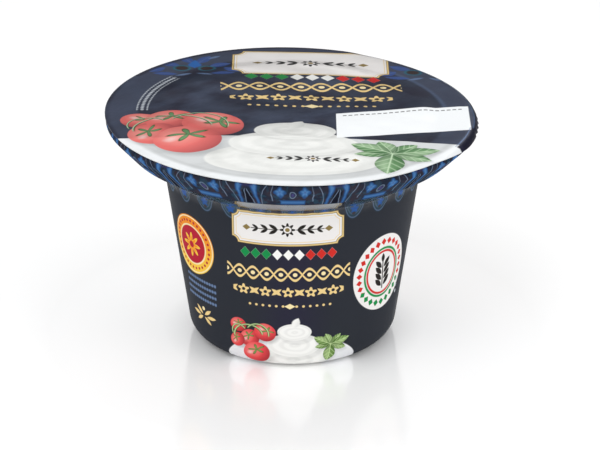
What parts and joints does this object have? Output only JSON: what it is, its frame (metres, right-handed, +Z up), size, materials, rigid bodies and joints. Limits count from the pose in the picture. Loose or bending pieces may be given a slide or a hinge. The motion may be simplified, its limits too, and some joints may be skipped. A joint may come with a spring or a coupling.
{
  "type": "sealed ricotta tub",
  "caption": "Round tapering plastic tub of fresh ricotta with a wide flared rim, sealed by a thin printed foil lid and standing on a flat ring.",
  "frame": {"origin": "middle of the base, on the surface that the tub stands on", "axes": "+Z up along the tub's axis, -Y towards the front of the print, +X towards the side where the foil is turned down"},
  "size_m": [0.0834, 0.083, 0.0541],
  "materials": {
    "cup_print": "gloss near-black navy print with a blue scroll border and a small food design",
    "foil_print": "satin printed foil, navy behind and white in front"
  },
  "bodies": {
    "root": {"cup": "cup_print", "foil_lid": "foil_print"}
  },
  "joints": []
}
